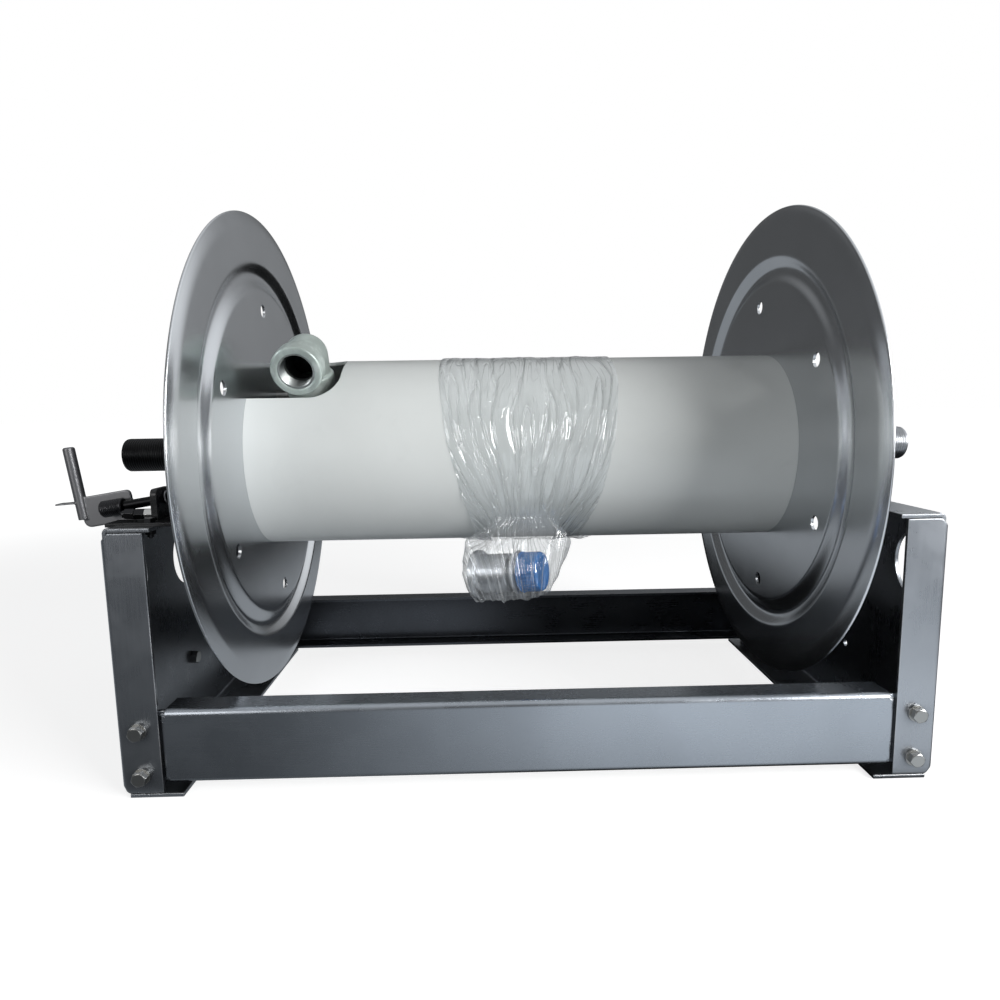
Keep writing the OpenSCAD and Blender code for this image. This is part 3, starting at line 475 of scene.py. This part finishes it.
def outlet():
    """The cast elbow with soft fillets, painted shade in its bore and a thread inside its mouth."""
    placed = outlet_axes()
    body = soften("outlet_elbow", 0.9, 7)
    start, end = MOUTH_THREAD
    along = np.arange(start, end, PITCH / 7)
    ring = [(a, MOUTH_R) for a in along] + [(along[-1], WALL_DEPTH), (start, WALL_DEPTH)]

    def raise_thread(angle, x, r):
        return -MOUTH_THREAD_DEPTH * (r < MOUTH_R + 0.1) * (1 - thread_wave(angle, x, PITCH))

    thread = grid_mesh("thread", revolve(ring, 96, raise_thread), True, placed)
    mesh = join(body, thread)
    to_own = placed.inverted()
    made = piece("outlet_elbow_cast", mesh, "drum", [galvanised, painted_bore_shade, thread_steel],
                 "outlet_elbow", 50)
    galvanised_slot, bore_slot, thread_slot = range(3)
    for face in mesh.polygons:
        if face.index >= len(body.polygons):
            face.material_index = thread_slot
        # Faces inside the bore get the painted shade.
        elif in_bore(to_own @ face.center / MM):
            face.material_index = bore_slot
        else:
            face.material_index = galvanised_slot
    return made


PIN_MIDDLE = 22  # the pin's middle, measured along it from the lock's own origin
SLEEVE_R = 7.0


def lock_axes():
    """Own +X along the pin towards the disc, own +Z up."""
    along = Vector(JOINTS["lock_pull"]["axis"])
    return axes(middle("lock_pin") - PIN_MIDDLE * MM * along, along, along.cross(Vector((0, 1, 0))))


def lock_sleeve():
    """A sleeve with rounded ends and a fine thread between them."""
    outer_end = [(-29.5, 4.2), (-29.3, 5.4), (-28.6, 6.5)]
    threaded = [(x, SLEEVE_R) for x in np.arange(-27.8, -11.3, 0.2)]
    inner_end = [(-11.2, SLEEVE_R), (-10.5, 6.5), (-10.2, 6.0), (-10.2, 4.0)]

    def cut_thread(angle, x, r):
        fade = step(x, -28, -27) * (1 - step(x, -14, -12))
        return -0.5 * (r == SLEEVE_R) * thread_wave(angle, x, 1.5) * fade

    points = revolve(outer_end + threaded + inner_end, 64, cut_thread)
    mesh = grid_mesh("lock_sleeve", points, False, lock_axes())
    return piece("lock_sleeve_threaded", mesh, "pin_lock", [sleeve_black], "lock_sleeve", 50)


SPRING = dict(start=24.8, end=42, radius=6, wire=0.7, turns=4)


def lock_spring():
    """A round-wire spring with closed ends."""
    wire, radius = SPRING["wire"], SPRING["radius"]
    start, end = SPRING["start"] + wire, SPRING["end"] - wire
    t = np.linspace(0, 1, 220)
    along = start + (end - start) * step(t, -0.08, 1.08)
    turn = 2 * math.pi * (SPRING["turns"] + 1) * t
    path = np.stack([along, radius * np.cos(turn), radius * np.sin(turn)], -1)
    placed = lock_axes()
    mesh = grid_mesh("lock_spring", tube_along(path, wire * 0.95, 12), False, placed)
    made = piece("lock_spring_coil", mesh, "frame", [spring_steel], "lock_spring", 50)
    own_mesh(made)
    return made


def swivel_axes():
    """Own +X along the swivel's axis towards its capped end."""
    turn = JOINTS["swivel_turn"]
    return axes(turn["pos_m"], turn["axis"], Vector(turn["axis"]).cross(Vector((0, 1, 0))))


CAP_R = 18.1
CAP_TOP = 46.5
CROWN_R = 2
CAP_RIBS = 30


def thread_cap():
    """A moulded cap: ribbed side, round crown, thin rim, hollow inside."""
    rim = [(26, 15.8), (26, 19.0), (26.4, 19.4), (27.6, 19.4), (28, 19.0), (28.3, 18.3)]
    side = [(x, CAP_R) for x in np.linspace(29, 44.4, 12)]
    crown = [(CAP_TOP - CROWN_R * (1 - math.sin(t)), CAP_R - CROWN_R + CROWN_R * math.cos(t))
             for t in np.linspace(0.1, math.pi / 2, 7)]
    face = [(CAP_TOP, 12), (CAP_TOP - 0.4, 11.6), (CAP_TOP - 0.4, 0.05)]
    inside = [(44, 0.05), (44, 15), (43.6, 15.75), (30, 15.75)]

    def ribs(angle, along, radius):
        on_side = step(along, 28.3, 29.4) * (1 - step(along, 43.6, 45.4)) * (radius > 17.5)
        return 0.5 * on_side * step(np.cos(angle * CAP_RIBS), -0.5, 0.7)

    points = revolve(rim + side + crown + face + inside, 240, ribs)
    mesh = grid_mesh("thread_cap", points, True, swivel_axes())
    return piece("thread_cap_ribbed", mesh, "swivel_stem", [cap_blue], "thread_cap", 50)


def softened(node, name, body, material, voxel, rounds):
    """A casting, weld or turned part in place of its CAD node."""
    return piece(name, soften(node, voxel, rounds), body, [material], node, 60)


# ---------- wrapping film ----------

FILM_MID = 7.5  # the film's middle and half its width, along the drum
FILM_HALF = 83.5
DRUM_R = 90.8
FOLD_HEIGHT = 3.2
FINE_FOLDS = (4.6, 0.7)  # how fast the material's fine folds change across and along the drum


def film_core():
    """The closed shape that the film covers: a skin on the drum joined to the pouch round the swivel."""
    axis = Matrix.Translation((0, 0, AXIS_Z))
    left, right = FILM_MID - FILM_HALF, FILM_MID + FILM_HALF
    skin = grid_mesh("skin", revolve([(left, DRUM_R + 0.7), (right, DRUM_R + 0.7)], 160), False, axis)
    root_axes = Matrix.Translation((0, -0.040, AXIS_Z - 0.062))
    round_swivel = [(-24, 22), (-20, 25.5), (22, 25), (44, 22.5), (49, 19)]
    root = [(-54, 20), (-48, 25), (44, 25), (51, 20)]
    hull = bmesh.new()
    for placed, rings in ((swivel_axes(), round_swivel), (root_axes, root)):
        for along, radius in rings:
            for point in revolve([(along, radius)], 40)[0]:
                hull.verts.new(placed @ (Vector(point) * MM))
    bmesh.ops.convex_hull(hull, input=hull.verts)
    pouch = bpy.data.meshes.new("pouch")
    hull.to_mesh(pouch)
    hull.free()
    return bake(join(skin, pouch), ("REMESH", {"mode": "VOXEL", "voxel_size": 2.2 * MM}),
                ("SMOOTH", {"factor": 0.5, "iterations": 4}))


def film_width(y, z):
    """Half the film's width: full behind and on top of the drum, gathered towards the pouch."""
    front = np.interp(z, (125, 157, 200, 235, 285, 340), (30, 38, 52, 64, 76, FILM_HALF))
    return front + (FILM_HALF - front) * step(y, -45, 25)


def ridge(value):
    """Sharp crests and round valleys."""
    return 1 - np.abs(np.sin(value)) ** 0.7


def fold_lines(x, y, z):
    """(place across the folds, place along them). The folds run to the pouch and fan out over the drum."""
    across = (x - FILM_MID) / film_width(y, z)
    turn = np.arctan2(y, z - AXIS_Z / MM)
    drift = 0.06 * np.sin(2.1 * turn + 3 * across) + 0.03 * np.sin(5.3 * turn - 4 * across)
    return across + drift, turn


def crinkle(across, turn, z, off_drum):
    """Height of the film's folds above the drum or the swivel."""
    folds = (0.55 * ridge(4.2 * across + 0.4) + 0.3 * ridge(9.7 * across + 1.3 * np.sin(3 * turn))
             + 0.15 * ridge(21 * across + 2.3))
    gather = 1 - 0.6 * step(z, 220, 350)
    return (0.3 + FOLD_HEIGHT * folds * gather) * (1 + 0.35 * off_drum) - 0.35 * off_drum


def film_sheet():
    """The outside of the film's core, without the faces that lie inside the drum."""
    mesh = bake(film_core(), ("SUBSURF", {"levels": 1, "subdivision_type": "SIMPLE"}))
    edit = bmesh.new()
    edit.from_mesh(mesh)
    hidden = []
    for face in edit.faces:
        centre = face.calc_center_median()
        if math.hypot(centre.y, centre.z - AXIS_Z) < (DRUM_R - 0.6) * MM:
            hidden.append(face)
    bmesh.ops.delete(edit, geom=hidden, context="FACES")
    edit.to_mesh(mesh)
    edit.free()
    return mesh


def read_vectors(collection, name):
    """One row of three numbers for each vertex or normal."""
    flat = np.empty(len(collection) * 3)
    collection.foreach_get(name, flat)
    return flat.reshape(-1, 3)


def film():
    """The film: a sheet drawn in towards the pouch, raised into folds and kept off the drum."""
    mesh = film_sheet()
    points = read_vectors(mesh.vertices, "co") / MM
    normals = read_vectors(mesh.vertex_normals, "vector")
    x, y, z = points.T
    from_axis = np.hypot(y, z - AXIS_Z / MM)
    off_drum = step(from_axis, DRUM_R + 2, DRUM_R + 16)
    squeeze = film_width(y, z) / FILM_HALF
    narrowed = FILM_MID + (x - FILM_MID) * (squeeze + (1 - squeeze) * off_drum)
    across, turn = fold_lines(x, y, z)
    height = crinkle(across, turn, z, off_drum)
    fine_across, fine_along = FINE_FOLDS
    lines = np.stack([across * fine_across, turn * fine_along, 0 * turn], -1).ravel().astype(np.float32)
    mesh.attributes.new("fold", "FLOAT_VECTOR", "POINT").data.foreach_set("vector", lines)
    points[:, 0] = narrowed
    points += normals * height[:, None]
    from_axis = np.hypot(points[:, 1], points[:, 2] - AXIS_Z / MM)
    lift = np.maximum(0, DRUM_R + 0.25 - from_axis) / from_axis
    points[:, 1] += points[:, 1] * lift
    points[:, 2] += (points[:, 2] - AXIS_Z / MM) * lift
    mesh.vertices.foreach_set("co", (points * MM).ravel())
    return piece("wrapping_film_folds", mesh, "drum", [clear_film], "wrapping_film", 180)


# ---------- studio ----------

def camera():
    """In front of the reel, a little above its axis, looking slightly down."""
    place = Vector((-0.0325, -0.6991, 0.3122))
    yaw, pitch, roll = -1.054, -7.580, 0.894
    lens = 24.38
    turn = (Matrix.Rotation(math.radians(yaw), 3, "Z") @ Matrix.Rotation(math.radians(pitch), 3, "X")
            @ Matrix.Rotation(math.radians(roll), 3, "Y") @ Matrix.Rotation(math.radians(90), 3, "X"))
    data = bpy.data.cameras.new("camera")
    data.lens = lens
    data.sensor_width = 36
    data.clip_start = 0.01
    made = bpy.data.objects.new("camera", data)
    made.matrix_world = Matrix.Translation(place) @ turn.to_4x4()
    bpy.context.scene.collection.objects.link(made)
    bpy.context.scene.camera = made


def area_light(name, place, size, power):
    """A rectangular light aimed at the middle of the reel."""
    data = bpy.data.lights.new(name, "AREA")
    data.shape = "RECTANGLE"
    data.size, data.size_y = size
    data.energy = power
    made = bpy.data.objects.new(name, data)
    made.location = place
    made.rotation_euler = (Vector((0, 0, 0.25)) - Vector(place)).to_track_quat("-Z", "Y").to_euler()
    bpy.context.scene.collection.objects.link(made)


def studio():
    """A white room for the camera. In reflections it is dark on the left and bright on the right."""
    bpy.context.scene.view_settings.view_transform = "Standard"
    world = bpy.data.worlds.new("studio")
    bpy.context.scene.world = world
    s = Shader(world, "OutputWorld")
    direction = s.node("TexCoord").outputs["Generated"]
    parts = s.node("SeparateXYZ", {"Vector": direction}).outputs
    rays = s.node("LightPath").outputs
    ahead = s.ramp(parts["X"], -0.1, 0.32, 0.10, 0.27)
    right = s.ramp(parts["X"], 0.38, 0.8, 0.0, 0.75)
    above = s.ramp(parts["Z"], 0.45, 0.9, 0.0, 0.55)
    soft = s.ramp(rays["Is Diffuse Ray"], 0, 1, 1.0, 0.24)
    strength = s.math("MULTIPLY", s.math("ADD", s.math("ADD", ahead, right), above), soft)
    room = s.node("Background", {"Color": (0.95, 0.975, 1.0), "Strength": strength})
    white = s.node("Background", {"Color": (1, 1, 1), "Strength": 1.0})
    s.show(s.blend(rays["Is Camera Ray"], room, white))

    area_light("key_right", (1.75, -1.45, 0.95), (1.2, 1.1), 56)
    area_light("soft_left", (-1.2, -1.6, 0.7), (0.9, 0.9), 7)


def floor():
    """Pale for the camera. In reflections it glows dark on the left and bright on the right, with a painted shadow
    under the reel.

    The camera sees it fade to white away from the reel, so that no horizon shows.
    """
    mesh = bpy.data.meshes.new("floor")
    half = 30.0
    corners = [(-half, -half, 0), (half, -half, 0), (half, half, 0), (-half, half, 0)]
    mesh.from_pydata(corners, [], [(0, 1, 2, 3)])
    made = bpy.data.objects.new("floor", mesh)
    made.location = (0, 0, -0.0005)
    bpy.context.scene.collection.objects.link(made)
    s = Shader.named("floor")
    place = s.node("SeparateXYZ", {"Vector": s.place()}).outputs
    rays = s.node("LightPath").outputs
    mottle = s.noise(3, 3, 0.5)
    pale = s.node("BsdfDiffuse", {"Color": s.mix(mottle, (0.46, 0.46, 0.46), (0.48, 0.48, 0.48))})
    from_reel = s.math("ADD", s.math("POWER", place["X"], 2.0), s.math("POWER", place["Y"], 2.0))
    glow = s.node("Emission", {"Color": (1, 1, 1), "Strength": s.ramp(from_reel, 1.0, 5.0, 0.8, 1.0)})
    seen_floor = s.node("AddShader", {0: pale.outputs[0], 1: glow.outputs[0]})
    far_right = s.ramp(place["X"], 0.36, 0.9, 1.0, 0.36)
    front = s.math("MULTIPLY", s.ramp(place["X"], -0.3, 0.2, 0.12, 0.95), far_right)
    # Painted shadow: under the reel the glow fades to almost nothing on the right.
    behind = s.ramp(place["X"], -0.12, 0.06, 0.36, 0.004)
    level = s.node("Mix", {0: s.ramp(place["Y"], -0.19, -0.17), 2: front, 3: behind}, data_type="FLOAT")
    soft = s.ramp(rays["Is Diffuse Ray"], 0, 1, 1.0, 0.6)
    strength = s.math("MULTIPLY", level.outputs[0], soft)
    mirror = s.node("Emission", {"Color": (0.88, 0.94, 1.0), "Strength": strength})
    made.data.materials.append(s.show(s.blend(rays["Is Camera Ray"], mirror, seen_floor)))


# ---------- materials on the CAD ----------

ALONG_X = (0.02, 1, 1)
ALONG_Z = (1, 1, 0.02)
# Painted shade in corners and hollows on the frame and on both cross members.
frame_steel = metal("frame_steel", (0.40, 0.42, 0.45), 0.3, ALONG_Z, painted_shade=0.8, edge_radius=1.5)
cross_steel = metal("cross_steel", (0.42, 0.45, 0.49), 0.27, ALONG_X, painted_shade=0.8, edge_radius=1.8)
# Painted shade: a darker copy of the cross-member steel, because the rear member lies in shadow.
shaded_rear_steel = metal("shaded_rear_steel", (0.16, 0.17, 0.19), 0.3, ALONG_X, painted_shade=0.9, edge=0.5)
zinc = metal("zinc", (0.34, 0.34, 0.33), 0.32, tint=(0.3, 0.28, 0.22), edge_radius=0.3)
bright_zinc = metal("bright_zinc", (0.86, 0.86, 0.84), 0.3, edge_radius=0.3)
spring_steel = metal("spring_steel", (0.4, 0.4, 0.42), 0.3, edge_radius=0.1)
black_enamel = cast("black_enamel", (0.012, 0.0125, 0.014), 0.3, edge=(0.07, 0.07, 0.07))
bearing_steel = metal("bearing_steel", (0.7, 0.7, 0.72), 0.15, edge_radius=0.3)
seal_rubber = cast("seal_rubber", (0.02, 0.02, 0.02), 0.7, lumps=0.03)
brass = metal("brass", (0.72, 0.58, 0.3), 0.25, edge_radius=0.2)
disc_metal = metal("disc_metal", (0.62, 0.635, 0.655), 0.23, grain_depth=0.0003, clouds=0.03,
                   smudge=0.03, edge_radius=0.4)
drum_paint = paint("drum_paint", (0.74, 0.765, 0.75))
hub_paint = paint("hub_paint", (0.05, 0.052, 0.056), 0.3)
black_oxide = metal("black_oxide", (0.045, 0.045, 0.048), 0.35, edge=0.3, edge_radius=0.25)
sleeve_black = metal("sleeve_black", (0.045, 0.045, 0.048), 0.36, edge=0.12, edge_radius=0.1)
pipe_dark = metal("pipe_dark", (0.02, 0.02, 0.021), 0.36, edge=0.1, edge_radius=0.1)
pipe_grey = metal("pipe_grey", (0.36, 0.37, 0.39), 0.3)
galvanised = cast("galvanised", (0.48, 0.55, 0.515), 0.36, 0.35, 0.06, tint=(0.64, 0.7, 0.67), shade=0.5)
# Painted shade: the elbow's galvanised metal, darkened where its bore lies in shadow.
painted_bore_shade = cast("painted_bore_shade", (0.05, 0.055, 0.052), 0.45, 0.6, 0.05)
lock_steel = metal("lock_steel", (0.018, 0.018, 0.019), 0.36, edge=0.15, edge_radius=0.3)
thread_steel = metal("thread_steel", (0.36, 0.38, 0.37), 0.36, edge=0.6, edge_radius=0.15)
swivel_metal = metal("swivel_metal", (0.5, 0.51, 0.53), 0.28)
cap_blue = paint("cap_blue", (0.0, 0.16, 0.5), 0.25, dirt=0.02, coat=0.3)
clear_film = plastic_film("clear_film")

dress(frame_steel, "left_side_frame", "right_side_frame")
dress(cross_steel, "front_cross_member")
dress(shaded_rear_steel, "rear_cross_member")
dress(zinc, "frame_bolts", "frame_washers", "frame_nuts", "web_bolt", "web_nut", "bearing_bolts",
      "bearing_washers", "bearing_nuts", "tie_rods", "tie_rod_washers", "tie_rod_nuts")
dress(bright_zinc, "lock_guide_nut")
dress(black_enamel, "lock_bracket")
dress(bearing_steel, "bearing_outer_rings", "bearing_balls", "bearing_inner_rings")
dress(seal_rubber, "bearing_seals")
dress(brass, "grease_nipples")
dress(drum_paint, "drum_tube")
dress(hub_paint, "left_hub", "right_hub")
dress(black_oxide, "hub_set_screws", "bearing_set_screws", "lock_bracket_screws", "lock_bracket_nuts",
      "lock_guide_stud", "lock_collar", "lock_jam_nuts")
dress(galvanised, "riser_pipe")
dress(lock_steel, "lock_pin")

disc("left_disc", -1, 34)
disc("right_disc", 1, 26)
shaft("inlet_pipe", -1, -223.5, 13.3, pipe_dark)
shaft("drive_shaft", 1, 214, 0, pipe_grey)
outlet()
lock_sleeve()
lock_spring()
thread_cap()
softened("inner_elbow", "inner_elbow_cast", "drum", galvanised, 1.2, 6)
softened("left_bearing_housing", "left_bearing_cast", "frame", black_enamel, 1.4, 6)
softened("right_bearing_housing", "right_bearing_cast", "frame", black_enamel, 1.4, 6)
softened("lock_lever", "lock_lever_welded", "pin_lock", lock_steel, 0.5, 4)
softened("swivel_body", "swivel_body_turned", "drum", swivel_metal, 0.8, 3)
softened("swivel_stem", "swivel_stem_turned", "swivel_stem", swivel_metal, 0.8, 3)
film()

camera()
studio()
floor()
